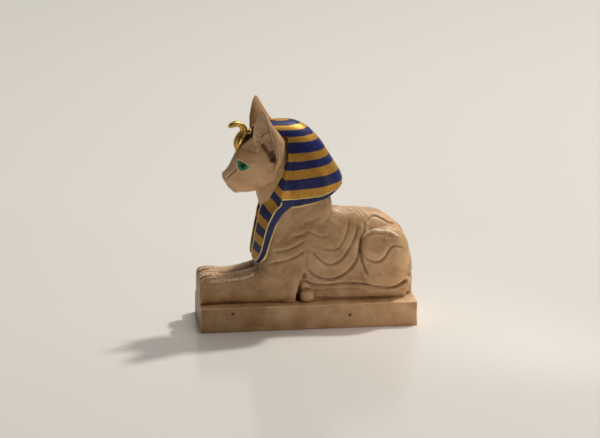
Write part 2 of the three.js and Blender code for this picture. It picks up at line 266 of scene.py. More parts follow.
def carve(piece, strokes):
    points, normals = skinOf(piece)
    tree = BVHTree.FromPolygons([Vector(p) for p in points], [p.vertices for p in piece.data.polygons])
    moved, residueAndShade, worn = np.zeros((3, len(points)))
    for stroke in strokes:
        width, (lip, lipWidth) = stroke["width"], stroke["lip"]
        places, flat = smoothLine(stroke["at"]), len(stroke["at"][0]) == 2
        for hand in stroke["hands"]:
            hits = [fromSide(tree, p.x, p.z, hand) if flat else tree.find_nearest((p.x, hand * p.y, p.z))
                    for p in places]
            line = [hit[0] for hit in hits if hit[0]]
            low, high = np.min(line, 0), np.max(line, 0)
            reach = max(width, lipWidth if lip else 0) * 1.1
            near = np.flatnonzero(((points > low - reach) & (points < high + reach)).all(1))
            distance, share, side = nearLine(points[near], normals[near], line)
            taper = smoothstep(share, 0, 0.16) * smoothstep(1 - share, 0, 0.16) if stroke["taper"] else 1
            u = np.clip(distance / width, 0, 1)
            groove = (1 - u) ** 1.3 * (1 + 0.6 * u)
            rise = np.clip(side * -hand * distance / lipWidth, 0, 1)
            roll = 6.75 * rise * (1 - rise) ** 2  # highest, at 1, a third of the way out
            way = share * sum((q - p).length for p, q in zip(line, line[1:]))
            teeth = 0.5 + 0.5 * np.sin(way * 2.6 + 2.2 * np.sin(way * 0.9))
            chip = stroke["chip"] * teeth * (1 - u) ** 0.7
            moved[near] += taper * (lip * roll - stroke["depth"] * groove - chip)
            # the cut is painted darker: wax left in it, and painted shade
            cutResidueAndShade = taper * np.clip(1 - distance / (width * 0.8), 0, 1) * stroke["dark"]
            residueAndShade[near] = np.maximum(residueAndShade[near], cutResidueAndShade)
            worn[near] = np.maximum(worn[near], taper * stroke["worn"] * (1 - u) * (0.45 + 0.55 * teeth))
    putSkin(piece, points + normals * moved[:, None])
    return residueAndShade, worn


def giveValues(piece, name, values):
    layer = piece.data.attributes.new(name, "FLOAT", "POINT")
    layer.data.foreach_set("value", np.asarray(values, np.float32))


def averaged(piece, points, rounds):  # each point drawn to the middle of its neighbours, again and again
    count = len(points)
    edges = np.empty(len(piece.data.edges) * 2, np.int32)
    piece.data.edges.foreach_get("vertices", edges)
    a, b = edges.reshape(-1, 2).T
    degree = np.bincount(a, minlength=count) + np.bincount(b, minlength=count)
    for _ in range(rounds):
        total = np.stack([np.bincount(a, points[b, k], count) + np.bincount(b, points[a, k], count)
                          for k in range(3)], axis=1)
        points = total / degree[:, None]
    return points


def hollowness(piece, rounds):  # how far a point lies below its neighbourhood: hollows come out positive
    points, normals = skinOf(piece)
    return np.einsum("ij,ij->i", averaged(piece, points, rounds) - points, normals)


def giveWearAndShade(piece, residueAndShade, worn, hollowShadeAndWax):  # wax and painted shade darken cuts and hollows, and what stands out is rubbed and painted pale as highlight
    hollow = hollowness(piece, 8)
    giveValues(piece, "residueAndShade", np.clip(np.maximum(residueAndShade, hollow * hollowShadeAndWax), 0, 1))
    giveValues(piece, "worn", np.clip(np.maximum(worn, -hollow * 1.3), 0, 1))


def finished(piece, material, node="statue"):
    points, _ = skinOf(piece)
    putSkin(piece, np.clip(points * mm, cadBox[0], cadBox[1]))  # nothing stands out of the block
    piece.data.shade_smooth()
    piece.data.materials.append(material)
    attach(piece, "root")
    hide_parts(node)
    print(piece.name, "done,", trianglesOf(piece), "triangles")


plinthSet = {
    "size": (blockSize[0], blockSize[1], 21),  # mm
    "edge": 0.9, "rim": 1.2, "square": 2,  # mm: wear on the edges, the strip beside them, the faces' size
    "knots": [(33.6, -27, 11.2, 1.3), (-63.6, -27, 15.8, 1.3), (-3.1, -27, 7.4, 0.5), (71, 27, 12, 0.9),
              (-40, 27, 8, 0.7)],  # x, y, z and radius
}


def makePlinth():
    size = np.array(plinthSet["size"])
    middle, rim = np.array((0, 0, size[2] / 2)), plinthSet["rim"]
    bm = bmesh.new()
    bmesh.ops.create_cube(bm, size=1)
    bmesh.ops.scale(bm, vec=size, verts=bm.verts)
    bmesh.ops.translate(bm, vec=middle, verts=bm.verts)
    bmesh.ops.bevel(bm, geom=bm.edges[:], offset=plinthSet["edge"], offset_type="OFFSET", segments=3,
                    profile=0.5, affect="EDGES", material=-1)
    for axis, across in enumerate(np.eye(3)):  # cut into small squares for the hand of the carver
        half = size[axis] / 2 - plinthSet["edge"]
        cuts = int(half * 2 / plinthSet["square"])
        for i in range(1, cuts):
            cutAcross(bm, middle + across * half * (2 * i / cuts - 1), across)
    piece = gathered("plinth", [bm])
    points, normals = skinOf(piece)
    x, y, z = points.T
    onTop, onSide = normals[:, 2] > 0.7, np.abs(normals[:, 2]) < 0.7
    inward = 0.16 * (1 + np.sin(x * 0.11 + 1.3) * np.sin(z * 0.31 + y * 0.19)) * onSide
    inward += 0.12 * (1 + np.sin(x * 0.083 + 0.4) * np.sin(y * 0.16)) * onTop
    atRim = (np.minimum(size[0] / 2 - np.abs(x), size[1] / 2 - np.abs(y)) < rim) & (z > size[2] - rim)
    inward += 0.22 * (1 + np.sin(x * 0.43) * np.sin(x * 0.171 + 1) + 0.6 * np.sin(y * 0.6)) * atRim
    inward[z < rim] = 0
    putSkin(piece, points - normals * inward[:, None])
    paintedHighlight = 0.45 * smoothstep(x, 76, 88) * onTop  # a painted highlight: the top turns paler towards the end behind the rump
    giveValues(piece, "worn", np.maximum(0.55 * ((np.abs(normals).max(1) < 0.96) & (z > 2)), paintedHighlight))
    giveValues(piece, "residueAndShade", np.zeros(len(points)))
    return piece


bodySet = {
    "voxel": 0.56, "smoothing": 9, "triangles": 190000,
    "flank": 17.5, "back": 95.5, "belly": 19, "loin": 47, "rump": 88, "rumpLow": 37,  # mm
}


def backAt(x):  # from the loin the back falls to the rump in a quarter of an ellipse
    loin, low = bodySet["loin"], bodySet["rumpLow"]
    fall = min(1, max(0, x - loin) / (bodySet["rump"] - loin + 1.5))
    return low + (bodySet["back"] - low) * math.sqrt(1 - fall * fall)


def torsoForm():
    flank, belly = bodySet["flank"], bodySet["belly"]
    places = [(-40, 66, 14), (-28, 88, flank), (-5, 98, flank + 0.5), (14, 99.6, flank),
              (30, 96.6, flank - 0.5)]
    places += [(x, backAt(x), (flank + 0.5) * math.sqrt(1 - (max(0, x - 52) / 39) ** 2.4))
               for x in (47, 56, 64, 71, 77, 82, 86, 88)]
    rows = []
    for x, top, side in places:
        centre = min(54, (top + belly) / 2 + 4)
        rows.append([x, x, 0, centre, side, top - centre, centre - belly])
    return ringed(rows, around=96, steps=110, fullness=2.5, ends=(0, 0))


def hindLegForms():
    thigh = lump((62, -11, 55.6), (22.6, 10.4, 27), 2.6, 64, 40)
    rows = [
        [0, -8.5, 25.8, 7, 6.2, 6],
        [40, -8.2, 26.2, 7.2, 6.4, 6.5],
        [74, -7.6, 27.2, 7.2, 7.6, 7.4],
        [84.5, -5, 28, 6.4, 7.2, 8.2],
    ]
    foot = ringed(numbered(rows), around=40, steps=70, fullness=2.7, ends=(0.04, 0.12))
    toes = lump((-1, -13.8, 26), (6, 7.2, 5.8), 2.6)
    heel = lump((78, -9, 33), (9, 6.6, 8), 2.2)
    return [thigh, foot, toes, heel]


def foreLegForms():
    middle, low = 8.6, 12.2  # mm from the middle plane, and from the middle of the leg down into the plinth
    rows = [[x, -middle - outward, 32, side, up, low] for x, outward, side, up in (
        (-91.4, 0, 8.2, 12.6), (-80, 0, 8.9, 14), (-71, 0, 8.3, 12.6), (-58, 0, 8.5, 13.8),
        (-45, 0.3, 8.9, 17), (-34, 0.6, 9.4, 20), (-4, 1.2, 9.4, 13))]
    foreArm = ringed(numbered(rows), around=56, fullness=3.1, lowFullness=2.6, ends=(0.05, 0.1))
    rows = [
        [-14, -9, 20.4, 8.4, 13, 4.6],
        [-14, -9.4, 36, 9.4, 15, 9.2],
        [-14, -9, 50, 9.4, 17, 13],
        [-14, -7.6, 74, 8.4, 16, 20],
    ]
    upperArm = ringed(numbered(rows), around=48, steps=40, level=True, fullness=2.4, ends=(0, 0.25))
    return [foreArm, upperArm]


def neckForm():
    rows = [
        [18, -30, 14.5, 9.6, 14], [34, -30, 16, 11, 14], [48, -30, 17.5, 12.6, 16],
        [66, -28, 17.5, 13.4, 18], [84, -25, 16, 14, 20], [100, -22, 13.4, 16.6, 22],
        [116, -22, 13.8, 20.4, 20], [134, -22, 13.8, 18, 16],
    ]
    return ringed(upright(rows), steps=70, level=True, fullness=2.3, ends=(0, 0.1))


def shoulderHump():  # the nape that stands out from under the headcloth
    rows = [[z, 0, side, 20, backward, 3.2] for z, side, backward in (
        (76, 14.8, 12), (82, 14.8, 14.6), (87, 14.3, 16.8), (93, 14.2, 19.2), (101, 14.4, 20.6),
        (112, 13, 18.6)
    )]
    return ringed(upright(rows), steps=30, level=True, fullness=5.5, ends=(0.3, 0.1))


def onLine(line, along):  # the place at each share of the way along a line, and the point before it
    spot = along * (len(line) - 1)
    low = np.clip(spot.astype(int), 0, len(line) - 2)
    return line[low] + (line[low + 1] - line[low]) * (spot - low)[:, None], low


def tailForm():
    line = np.array(smoothLine([(82, 3, 21), (85.6, 11, 21), (77, 18.4, 21), (54, 20.2, 21), (30, 19.8, 21),
                                (15, 18.4, 21)], 1.2))

    def place(angle, along):
        centre, low = onLine(line, along)
        way = line[low + 1] - line[low]
        way /= np.linalg.norm(way, axis=1)[:, None]
        across = np.cross(way, (0, 0, 1))
        end = np.sqrt(np.maximum(0.02, 1 - np.maximum(0, (along - 0.9) / 0.1) ** 2))
        radius = (4 - 1.2 * along) * end
        upward = np.sin(angle) * radius * 1.1 + 2.4
        return centre + across * (np.cos(angle) * radius)[:, None] + np.array((0, 0, 1)) * upward[:, None]

    return rolled(28, 90, place)


# Folds of loose skin and the other cuts of the gouge, as places (x, z) seen from the side.
bodyStrokes = [
    # folds hanging from the loin
    cut([(35, 91), (31, 76.5), (25.3, 66.7), (17.8, 65.3), (8.7, 67.3)], 1.85, 0.57, lip=(0.43, 9)),
    cut([(41, 89.6), (39.3, 77.5), (32.8, 63.8), (26.2, 55.4), (17.1, 52.3), (9.6, 56.5), (2.9, 64.1),
        (-0.8, 68.5)], 2.02, 0.78, lip=(0.62, 11)),
    cut([(44, 78), (42.6, 69), (41, 59), (35, 48.1), (26.3, 41.4), (17.2, 39.2), (7.1, 42.2), (-0.4, 48.1),
        (-2.4, 53)], 2.11, 0.94, lip=(0.74, 12), dark=0.7),
    # folds draped from the shoulder
    cut([(-17.3, 76.9), (-6.6, 78.4), (0.6, 80.9), (10.2, 76.5), (19.8, 76.8)], 1.94, 0.49, lip=(0.37, 8)),
    cut([(-31.1, 64.3), (-17.3, 66.9), (-8.9, 70.3), (-1.7, 75.1)], 1.94, 0.61, lip=(0.5, 8)),
    cut([(-37, 53.8), (-20.9, 57), (-8.9, 61.5), (-0.8, 67.5)], 2.02, 0.78, lip=(0.62, 9)),
    cut([(-5, 87.7), (3.4, 90.2), (10.5, 93.6)], 3.52, 0.41, lip=(0.25, 8), dark=0.12),
    # a nick over the ribs
    cut([(47.4, 88), (46.4, 82), (46, 76.6)], 2.02, 0.57, lip=(0.25, 5)),
    # front of the thigh
    cut([(44.6, 80), (43.1, 70.4), (43.2, 62.7), (44.6, 53.4), (47.4, 45.5), (50.6, 40.8)], 2.29, 1.23,
        lip=(0.56, 10), dark=0.7),
    # the sweep on the thigh
    cut([(44, 62.3), (47, 58), (51.5, 55.3), (55.2, 54.6), (59.6, 55.5), (63.3, 59.2), (66.9, 65.2),
        (71.3, 67.7), (77.3, 65.6), (80.3, 63.2)], 2.02, 0.9, lip=(0.81, 13)),
    # the ledge over the thigh and the hip above it
    ridge([(44.5, 72.7), (45.5, 75.7), (47.7, 78), (51.4, 79.7), (55.1, 80.5), (61, 79.8), (66.9, 79.4),
          (72.8, 76.3), (77.3, 73.5)], 1.67, 0.95, 0.35, 1.4),
    cut([(47.3, 74.4), (51.4, 77.4), (56.4, 78), (63.2, 77.4), (71, 74.4)], 2.11, 0.57, dark=0.25),
    cut([(47.3, 85.5), (51, 89.2), (54.6, 90.6), (59.8, 89.1), (67.3, 84.7), (73.2, 82.2), (79, 77)], 1.76,
        0.7, lip=(0.5, 7)),
    ridge([(59.8, 90.7), (67.3, 86.3), (73.6, 83.4)], 1.06, 0.3, 0.2, 1),
    # underside of the thigh, hollow over the long foot, painted dark as the shade under the thigh
    cut([(-2.2, 37.9), (3.7, 34.9), (14.1, 34), (23, 34.4), (33.3, 34.6), (46.7, 33.2), (57.1, 31.2),
        (67.5, 30), (74.9, 31.3), (81, 34.6)], 3, 2.3, lip=(0.7, 7), dark=1.1, taper=False),
    cut([(74, 14, 31), (80.6, 12.4, 34.4), (84.4, 10, 37.6), (87, 6, 41), (88.4, 2, 43.6), (88.4, 0, 44)],
        2.2, 0.8, dark=0.5),
    cut([(7, 22.6), (21.9, 21.6), (36.7, 21.2), (51.6, 20.8), (66.5, 20.8), (75.4, 21.2), (81.3, 23),
        (86.4, 27.4)], 2.4, 1.6, dark=1, taper=False),
    ridge([(74.4, 19.9), (79, 20.9), (82.8, 23), (87, 27.4)], 1.3, 0.2, 0.3, 1.3, hands=(-1,)),
    # hind toes
    cut([(-6.7, 34), (-8.2, 28), (-7, 21.6)], 2.2, 1.4, dark=0.9),
    # elbow
    cut([(-2.6, 48), (-3.6, 44), (-5.4, 38.2), (-7.6, 31), (-9.6, 22)], 2.6, 1.8, dark=0.8),
    cut([(-0.8, 68), (-1.4, 59), (-2.4, 50)], 2.4, 0.3, dark=0.15),
    # the arris of the foreleg
    ridge([(-86.2, 16.6, 40.9), (-78.3, 16.8, 41.2), (-71.8, 16.6, 41.9), (-61.4, 16.6, 42.8),
          (-52.2, 16.8, 44), (-45.7, 16.6, 46.8), (-41.7, 16, 50)], 1.5, 0.95, 0.4, 2.2),
    # the wrist
    ridge([(-75, 4, 45), (-74.4, 9, 45.6), (-72.6, 13, 44)], 1.8, 0.9, 0.4, 1),
    cut([(-77.4, 4, 45), (-77, 9, 46), (-75.4, 13, 45)], 1.6, 0.5, dark=0.4),
]
for y in (12.9, 8.7, 4.6):  # between the toes of the forepaws, painted dark as shade, with knuckles beside them rubbed and painted pale as highlight
    bodyStrokes += [
        cut([(-77, y, 46), (-83, y, 45.6), (-88.6, y, 41), (-90, y, 33), (-89.6, y, 25)], 1.5, 1.8, dark=1.0),
        ridge([(-79, y + 2, 46), (-86.6, y + 2, 43.6), (-90, y + 2, 37), (-90, y + 2, 29)], 1.2, 0.45, 0.4,
              1.5),
    ]
# fine wrinkles along the back, other ones on each side
bodyStrokes += [cut(at, width, depth, lip=(0.15, width * 2.5), dark=depth, hands=(hand,)) for
                hand, width, depth, at in (
    (-1, 1, 0.35, [(21, 2.6, 99), (25, 4.2, 98.4), (30, 3.2, 97.6), (36, 4.6, 96.4), (42, 3.4, 96)]),
    (-1, 1, 0.3, [(25, 6.4, 97.5), (30, 7.6, 96.6), (35, 6.4, 96), (41, 7.6, 95.6), (46, 6.6, 95)]),
    (-1, 1, 0.35, [(33, 0.8, 99), (39, 2, 98), (45, 1, 97.6), (52, 2.2, 96), (57, 1.4, 95)]),
    (1, 1.1, 0.3, [(23, 4.8, 98.4), (29, 3.4, 97.6), (35, 5.6, 96.4), (40, 5, 96)]),
    (1, 1, 0.3, [(28, 9, 96.5), (34, 8, 96), (39, 9.4, 95), (47, 8.4, 94)]),
)]


def makeBody():
    forms = [torsoForm(), neckForm(), shoulderHump(), tailForm()]
    for form in hindLegForms() + foreLegForms():
        forms += pair(form)
    piece = fused("carvedBody", forms, bodySet)
    points, _ = skinOf(piece)
    x, y, z = points.T
    shoulder = smoothstep(x, -36, -24) * smoothstep(-x, -16, -4) * smoothstep(z, 70, 78) * (np.abs(y) > 7)
    putSkin(piece, points + (averaged(piece, points, 60) - points) * shoulder[:, None])
    residueAndShade, worn = carve(piece, bodyStrokes)
    points, normals = skinOf(piece)
    x, y, z = points.T
    # loose wrinkles across the spine, none like the next
    spine = smoothstep(z, 88, 94) * smoothstep(x, 20, 27) * smoothstep(-x, -68, -56)
    drift = np.sin(x * 0.31 + y * 0.13) + 0.7 * np.sin(x * 0.143 - y * 0.21 + 2)
    ripples = np.sin(x * 1.15 + z * 1.3 + 2.6 * drift) * (0.55 + 0.45 * np.sin(x * 0.23 + y * 0.37)) * spine
    points += normals * (ripples * 0.16)[:, None]
    # flats left by the gouge all over
    facets = np.sin(x * 0.52 + 1.7 * np.sin(z * 0.29)) * np.sin(z * 0.47 + 1.3 * np.sin(x * 0.21 + y * 0.3))
    points += normals * (facets * 0.12)[:, None]
    putSkin(piece, points)
    # the crests of the spine wrinkles are painted paler, as highlight
    giveWearAndShade(piece, residueAndShade * 0.7, np.maximum(worn, spine * np.clip(ripples, 0, 1) * 0.35), 2.1)
    return thinned(piece, bodySet["triangles"])


headSet = {"voxel": 0.42, "smoothing": 8, "triangles": 190000}


def skullForm(grow=0):
    rows = [
        [-69.5, 127.6, 2.8, 2.2, 2.2],
        [-67.4, 126.4, 5, 4.8, 4.6],
        [-64, 126, 6.8, 9.4, 9.4],
        [-60, 127, 8.8, 16.6, 12.8],
        [-55.5, 130, 11.2, 22.2, 16.6],
        [-50, 134, 13.4, 24.4, 21],
        [-43, 137.6, 14.8, 26.8, 23.6],
        [-34, 139.6, 15.2, 29.4, 24.4],
        [-22, 140, 14.6, 29, 22],
        [-10, 140, 10, 20, 16],
    ]
    rows = [[x, x - grow, 0, z, side + grow, up + grow, down + grow] for x, z, side, up, down in rows]
    return ringed(rows, around=96, steps=100, fullness=2.15, lowFullness=2.5, ends=(0, 0.1))


earRows = [  # height, front edge x y, outer rim x y, back x y, depth of the hollow
    [126, -29.4, 11.6, -27, 12.6, -25.4, 11.4, 0],
    [135, -31.4, 13, -27.6, 16, -22.8, 12, 0.8],
    [143, -36, 13.4, -25.4, 19.6, -20.4, 13.4, 2.6],
    [151, -41.4, 13.2, -25.4, 22.4, -19.4, 14.6, 4],
    [159, -44.8, 13.4, -27, 23.4, -19.8, 15.6, 4.6],
    [166, -45.6, 14.8, -29, 23.6, -24, 16.6, 4.2],
    [173, -45.2, 16.8, -32.2, 23.8, -29.2, 18.4, 3.2],
    [180, -43.5, 19.6, -35, 24, -33.4, 20.6, 1.9],
    [185, -42, 21.8, -37.2, 24.2, -36.4, 22.2, 0.9],
    [188, -40.2, 23.6, -38.4, 24.3, -38.2, 23.4, 0.2],
]
earArcs = [0, 0.34, 0.54, 0.94, 1]  # shares of the ring: inner wall, back, hollow, front edge


def earForm():
    foot, tip = earRows[0][0], earRows[-1][0]

    def place(angle, along):
        height = foot + (tip - foot) * (1 - (1 - along) ** 1.15)
        here = throughRows(earRows, height)
        rim, back = here[:, 2:4], here[:, 4:6]
        thick = 0.9 * np.clip((tip + 1 - height) / 12, 0.25, 1)[:, None]  # thinner towards the tip
        frontIn, frontOut = here[:, 0:2] + thick * (0.3, -0.9), here[:, 0:2] + thick * (-0.1, 0.9)
        share = angle / (2 * math.pi)
        arc = np.clip(np.searchsorted(earArcs, share, side="right") - 1, 0, 3)
        t = ((share - np.take(earArcs, arc)) / (np.take(earArcs, arc + 1) - np.take(earArcs, arc)))[:, None]
        stations = np.stack([frontIn, back, rim, frontOut, frontIn])
        count = np.arange(len(share))
        start, stop = stations[arc, count], stations[arc + 1, count]
        chord = stop - start
        size = np.linalg.norm(chord, axis=1)
        inward = np.stack([-chord[:, 1], chord[:, 0]], 1) / (size[:, None] + 1e-6)
        bow = np.choose(arc, [-0.3 * size, -0.25 * size, here[:, 6] * 2, 0 * size])
        middle = (start + stop) / 2 + inward * bow[:, None]
        ring = start * (1 - t) ** 2 + middle * 2 * t * (1 - t) + stop * t**2
        return np.stack([ring[:, 0], -ring[:, 1], height], 1)

    return rolled(100, 90, place)


eyeSet = {
    "outline": [(-57.6, 142.4), (-54.9, 141.8), (-51.4, 140), (-48.7, 137.3), (-51.4, 135.4), (-54.4, 134.2),
                (-56.8, 135.6), (-57.7, 138.2)],  # the opening seen from the side, x and z
    "middle": (-53.6, 138), "lid": 1.2, "pupil": (-54, 138.2),  # lid is how much larger its line is
    "dome": 0.9, "sunk": 0.35, "socket": 1.1, "thick": 0.9,  # mm
}

headStrokes = [
    cut([(-57.5, 135.9), (-59.9, 133.1), (-62.8, 130.1), (-66.2, 126)], 1.3, 0.65, lip=(0.35, 4), dark=0.9),
    cut([(-69.4, 129.6), (-68.4, 127.4), (-66.2, 126)], 1.2, 0.5, dark=0.9),
    # nostrils, lip and mouth
    cut([(-69.8, 0.3, 126.6), (-69.6, 2, 127.3), (-68.8, 3.1, 128.8)], 0.9, 0.45, dark=0.8, taper=False),
    cut([(-69.8, 0, 126.4), (-69, 0, 124), (-67.4, 0, 121.6)], 0.9, 0.4, dark=0.7, hands=(-1,), taper=False),
    cut([(-67.4, 0, 121.4), (-66.8, 2.4, 120.4), (-65, 4.8, 120.2), (-62, 6.4, 120)], 1, 0.35, dark=0.5),
    cut([(-55.8, 150.6), (-49.6, 151.2), (-43.7, 150), (-40.4, 149.3)], 2.4, 0.3, lip=(0.45, 6), dark=0.3),
    cut([(-46.8, 143), (-44.4, 142.4), (-42.4, 140.6)], 1.4, 0.2, dark=0.4),
    cut([(-42.6, 160.2), (-40.4, 158.4), (-39, 157)], 1.9, 0.8, dark=1),
    # the hollow of the ear and the slot at its foot, painted dark as the shade inside them
    cut([(-38.6, 158.6), (-35.6, 155), (-32.6, 151), (-30.4, 146.6), (-29.2, 141.4)], 4.2, 2.2, dark=0.7),
    cut([(-34, 160.4), (-31.6, 155), (-29.6, 149)], 3.6, 1.2, dark=0.7),
    cut([(-39.2, 157.8), (-35.3, 152.5), (-31.2, 146.9), (-29, 142.5), (-27.8, 140)], 1.7, 1.5, dark=2.2),
    cut([(-32.6, 150.5), (-30.4, 146.6), (-28.8, 141)], 3.2, 1.3, dark=2.4),
    cut([(-38.6, 159.3), (-35.4, 160.4), (-32.5, 160.1), (-28.3, 155.7)], 1.1, 0.55, dark=0.8),
    cut([(-43.4, 165.7), (-41, 163.4), (-39.3, 162.9), (-36.6, 165.7), (-31.6, 169.6)], 1.2, 0.6,
        lip=(0.3, 3), dark=0.8),
    cut([(-39.4, 181), (-35.4, 176), (-33.6, 170.6), (-32, 163.4), (-29.5, 156), (-28, 149), (-29, 141)],
        1.3, 0.9, dark=1),
    ridge([(-38.3, 183.6), (-33.8, 177.6), (-32, 171.4), (-30.4, 164), (-27.9, 156.6), (-26.4, 149.1),
          (-27.6, 141.8)], 1, 0.5, 0.15, 1.3),
    cut([(-38.6, 168.6), (-37.8, 164.4), (-38.8, 160.4), (-40, 157.6)], 1.5, 0.5, dark=0.5),
    ridge([(-45.4, 166), (-44.6, 162), (-44.4, 158.8)], 1.2, 0.4, 0.25, 1),
    cut([(-44.2, 15, 178), (-45.6, 13.6, 171), (-46, 13, 164)], 4.5, 0.25, dark=0.75, hands=(1,),
        taper=False),
    ridge([(-41.2, 186), (-36.2, 180.2), (-33, 173), (-29.4, 163), (-26.6, 156), (-25.6, 149)], 0.9, 0.2,
          0.1, 0.9),
]


def insideOf(points, outline):  # how deep each point lies inside a closed line seen from the side; 0 outside
    place = points[:, 0] + 1j * points[:, 2]
    line = np.array([complex(p.x, p.z) for p in smoothLine([*outline, outline[0]], 0.4)])
    within, depth = np.zeros(len(place), bool), np.full(len(place), 1e9)
    for start, stop in zip(line, line[1:]):
        way = (place - start) / (stop - start)  # the share of the way along, and to the side as imaginary
        crosses = (start.imag > place.imag) != (stop.imag > place.imag)
        within ^= crosses & ((way.imag > 0) == (stop.imag > start.imag))
        depth = np.minimum(depth, np.abs(way - np.clip(way.real, 0, 1)) * abs(stop - start))
    return np.where(within, depth, 0)


def makeHead():
    chin = lump((-57.6, 0, 117.6), (4.8, 6.2, 5.2), 2.4, rings=20)
    pad = lump((-60.4, -3.4, 123.6), (4.8, 4.6, 5), 2.1, rings=20)
    piece = fused("carvedHead", [skullForm(), chin, *pair(pad), *pair(earForm())], headSet)
    middle = np.array(eyeSet["middle"])
    rim = [tuple(middle + (np.array(p) - middle) * eyeSet["lid"]) for p in eyeSet["outline"]]
    lid = ridge([*rim, rim[0]], 1.4, 0.35, 0, 0, taper=False)
    residueAndShade, worn = carve(piece, headStrokes + [lid])
    points, normals = skinOf(piece)
    depth = insideOf(points, eyeSet["outline"]) * (np.abs(points[:, 1]) > 4)  # sockets for the glass
    putSkin(piece, points - normals * (eyeSet["socket"] * smoothstep(depth, 0, 0.5))[:, None])
    # the sockets under the glass are painted dark too, as shade in the recess
    giveWearAndShade(piece, np.maximum(residueAndShade, depth > 0) * 0.8, worn, 2.6)
    return thinned(piece, headSet["triangles"])


def makeEye(name, hand, tree):  # a lens over the opening, set on the bare skull
    edge = smoothLine([*eyeSet["outline"], eyeSet["outline"][0]], 0.4)[:-1]
    spots = [fromSide(tree, p.x, p.z, hand)[0] for p in edge]
    middle = sum(spots, Vector()) / len(spots)
    outward = fromSide(tree, middle.x, middle.z, hand)[1]
    bm = bmesh.new()
    bmesh.ops.create_circle(bm, cap_ends=True, segments=len(edge), radius=1)
    turn = 2 * math.pi / len(edge)
    for _ in range(6):
        inner = [f for f in bm.faces if len(f.verts) == len(edge)]
        bmesh.ops.inset_region(bm, faces=inner, thickness=0.15, use_boundary=True)
    for v in bm.verts:
        radius = min(1, v.co.xy.length)
        spot = spots[round(math.atan2(v.co.y, v.co.x) / turn) % len(edge)]
        v.co = middle.lerp(spot, radius) + outward * (eyeSet["dome"] * (1 - radius**2) - eyeSet["sunk"])
    back = bmesh.ops.extrude_face_region(bm, geom=bm.faces[:])
    moved = [v for v in back["geom"] if isinstance(v, bmesh.types.BMVert)]
    bmesh.ops.translate(bm, vec=outward * -eyeSet["thick"], verts=moved)
    bmesh.ops.recalc_face_normals(bm, faces=bm.faces)
    piece = gathered(name, [bm])
    points, _ = skinOf(piece)
    pupilX, pupilZ = eyeSet["pupil"]
    giveValues(piece, "pupil", np.hypot(points[:, 0] - pupilX, points[:, 2] - pupilZ))
    return piece


clothSet = {
    "voxel": 0.5, "smoothing": 3, "triangles": 190000,
    "hem": 105, "rise": 0.26,  # mm, and how much the hem climbs towards the back
    "browPlace": (-58.6, 0, 150.2), "browWay": (0.655, 0, -0.756),  # the cut along the brow
    "lines": {  # painted edges seen from the side, x and z: behind the ear, along the hem, along the cheek
        "corner": [(-18.4, 166), (-18.2, 152.8), (-18.5, 141.8), (-20.4, 128), (-21.8, 117), (-22.9, 110.2),
                   (-23.4, 106.4), (-28.5, 100.7), (-33.2, 90.9), (-35.9, 82.3), (-39.2, 68.7), (-41.6, 61.9),
                   (-44.4, 57)],
        "hem": [(40, 120), (26.3, 113.6), (19.1, 111), (9.6, 108.8), (0.1, 106.9), (-9.4, 104.9),
                (-15.4, 103), (-20.2, 99.6), (-24, 94.3), (-27.6, 88.2), (-31, 78), (-33.6, 69.7),
                (-36.4, 62), (-39.4, 57)],
        "cheek": [(-20, 138), (-22, 131.1), (-24.4, 125.7), (-27.9, 119), (-32.7, 112.9), (-36.6, 106.4),
                  (-39.6, 99), (-42.2, 86), (-44.6, 72), (-46.4, 60)],
    },
}


def capForm():
    rows = [  # height, x, side, forward, backward, squareness of the front
        [102.5, 2, 21.8, 24, 19, 2.35],
        [106, 2, 23.2, 24.6, 25, 2.6],
        [114, 2, 23.6, 24.4, 27.6, 3.4],
        [124, 1, 23, 22, 26.6, 4.6],
        [134, -1, 21.6, 18, 24.6, 5],
        [144, -5, 20, 14, 23.4, 5],
        [152, -9, 18.2, 10, 22.8, 5],
        [159, -13, 16, 10, 21.6, 3.6],
        [163.5, -17, 14, 22, 21.4, 2.6],
        [167, -19.4, 12.2, 26, 20, 2.35],
        [170.4, -21.4, 9.4, 20, 16.6, 2.3],
        [172.8, -22, 6, 12, 10.4, 2.2],
        [173.9, -22, 2, 5, 4, 2],
    ]
    bm = ringed(upright(rows), around=120, steps=110, level=True, lowFullness=2.35, ends=(0, 0))
    for v in bm.verts:  # the hem climbs, sags behind the ear and curls up at the nape
        low = 1 - float(smoothstep(v.co.z, clothSet["hem"] - 1, 150))
        edge = 1 - float(smoothstep(v.co.z, 102, 113))
        sag = 1.4 * float(smoothstep(v.co.x, 6, 18))
        v.co.z += (v.co.x + 3) * clothSet["rise"] * low + (2.8 - sag + 0.004 * max(0, v.co.x) ** 2) * edge
    return bm


def browForm():  # the cloth over the forehead, cut off along the brow
    bm = skullForm(0.7)
    cutAcross(bm, clothSet["browPlace"], clothSet["browWay"], clear_outer=True)
    bmesh.ops.holes_fill(bm, edges=bm.edges, sides=0)
    return bm


lappetRows = [  # height, front inner edge, front outer edge, back edge
    [55.8, -43.6, -42.2, -40.4],
    [57.2, -45.4, -43.2, -37.8],
    [60.4, -46.4, -42.4, -35.4],
    [67, -45.8, -40.6, -33.4],
    [77, -44.2, -38.2, -30.8],
    [89, -42, -34.4, -27],
    [99, -40, -30.4, -21.4],
    [108, -36.6, -24.4, -11],
    [120, -29.6, -22.2, -8],
    [132, -24.4, -19.4, -8],
    [141, -19.6, -16.6, -8],
]


